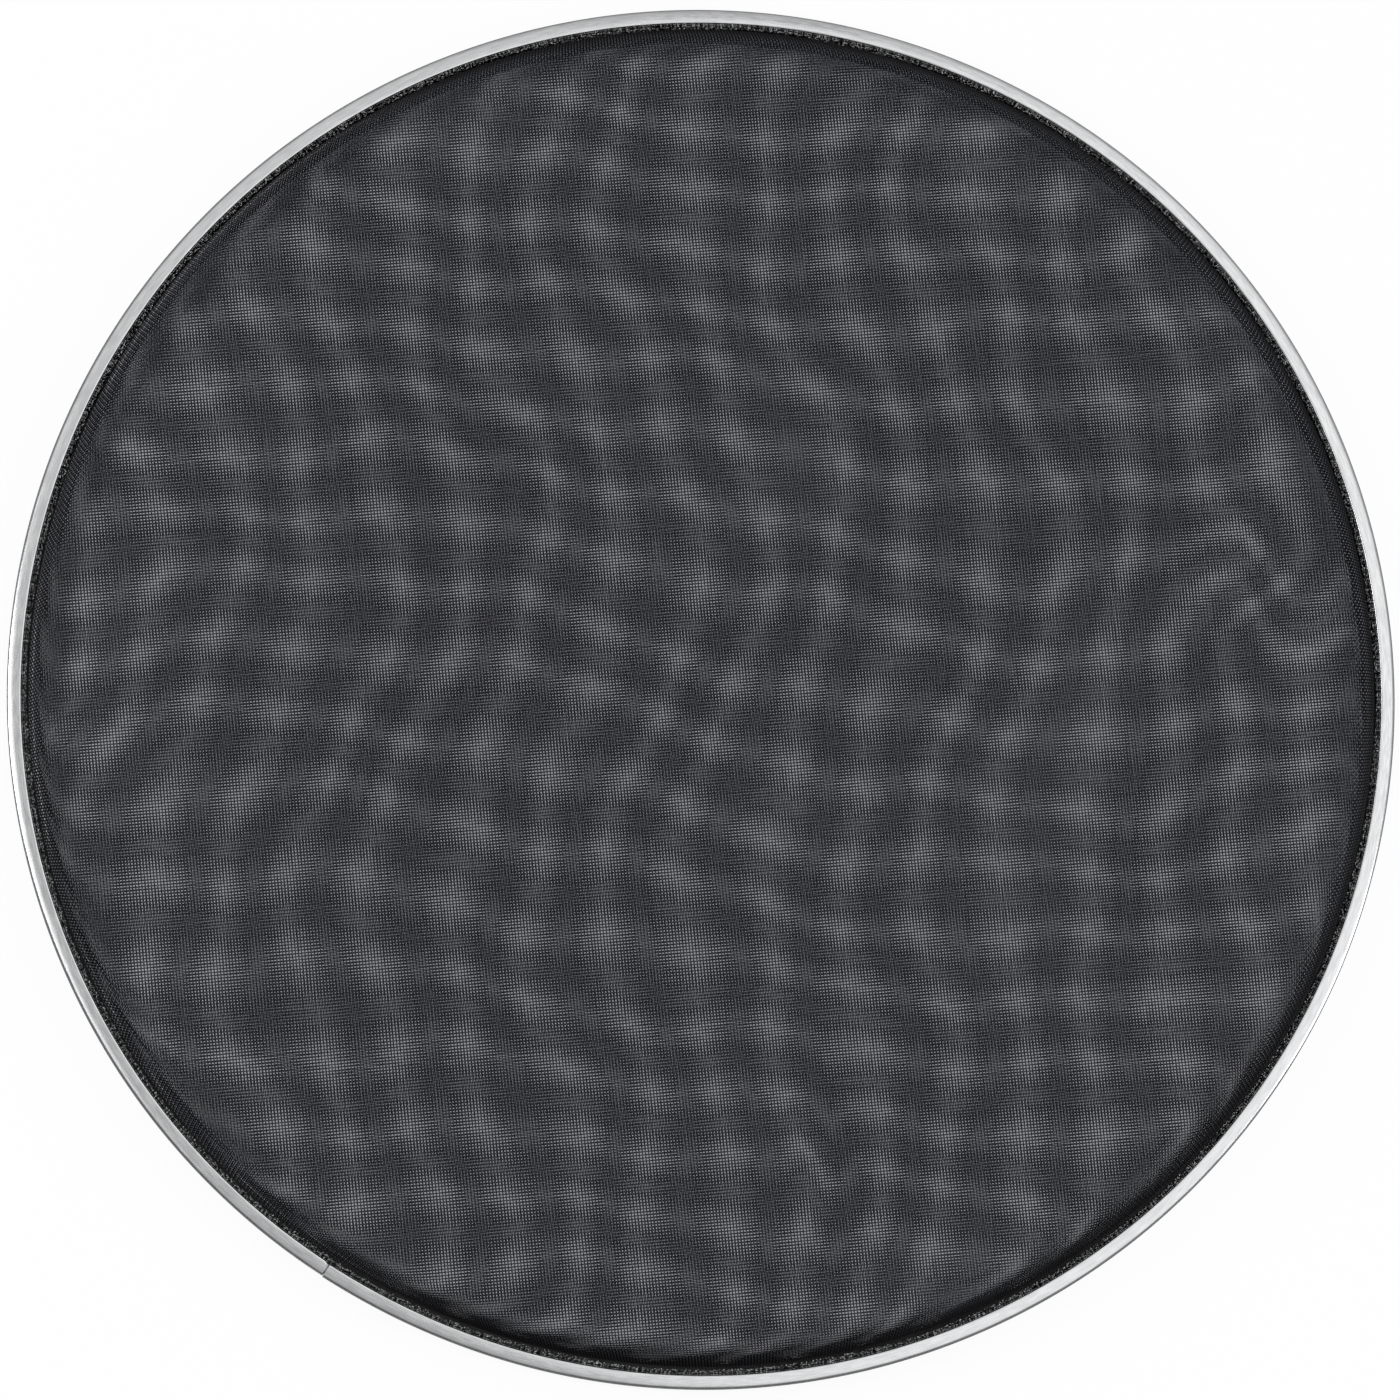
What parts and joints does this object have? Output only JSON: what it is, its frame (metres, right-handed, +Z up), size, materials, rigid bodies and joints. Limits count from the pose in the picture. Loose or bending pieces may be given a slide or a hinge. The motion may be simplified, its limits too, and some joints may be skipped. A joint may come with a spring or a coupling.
{
  "type": "mesh drum head",
  "caption": "Round drum head of layered black woven mesh on a shallow collar, bonded into a roll-formed aluminium hoop that fits over a drum shell.",
  "frame": {"origin": "on the hoop's axis, in the plane that the hoop rests on", "axes": "+Z up, out of the playing face; +X to the right in the picture and +Y towards its top"},
  "size_m": [0.372, 0.372, 0.0185],
  "materials": {
    "hoop_aluminium": "brushed along the hoop, bare",
    "key_steel": "zinc-plated, dull",
    "wire_steel": "drawn, bare",
    "mesh_black": "woven polyester mesh, charcoal black",
    "adhesive_dark": "cured adhesive, dull black"
  },
  "bodies": {
    "root": {"hoop": "hoop_aluminium", "joint_key": "key_steel", "core_wire": "wire_steel", "upper_ply": "mesh_black", "lower_ply": "mesh_black", "adhesive_bead": "adhesive_dark"}
  },
  "joints": []
}
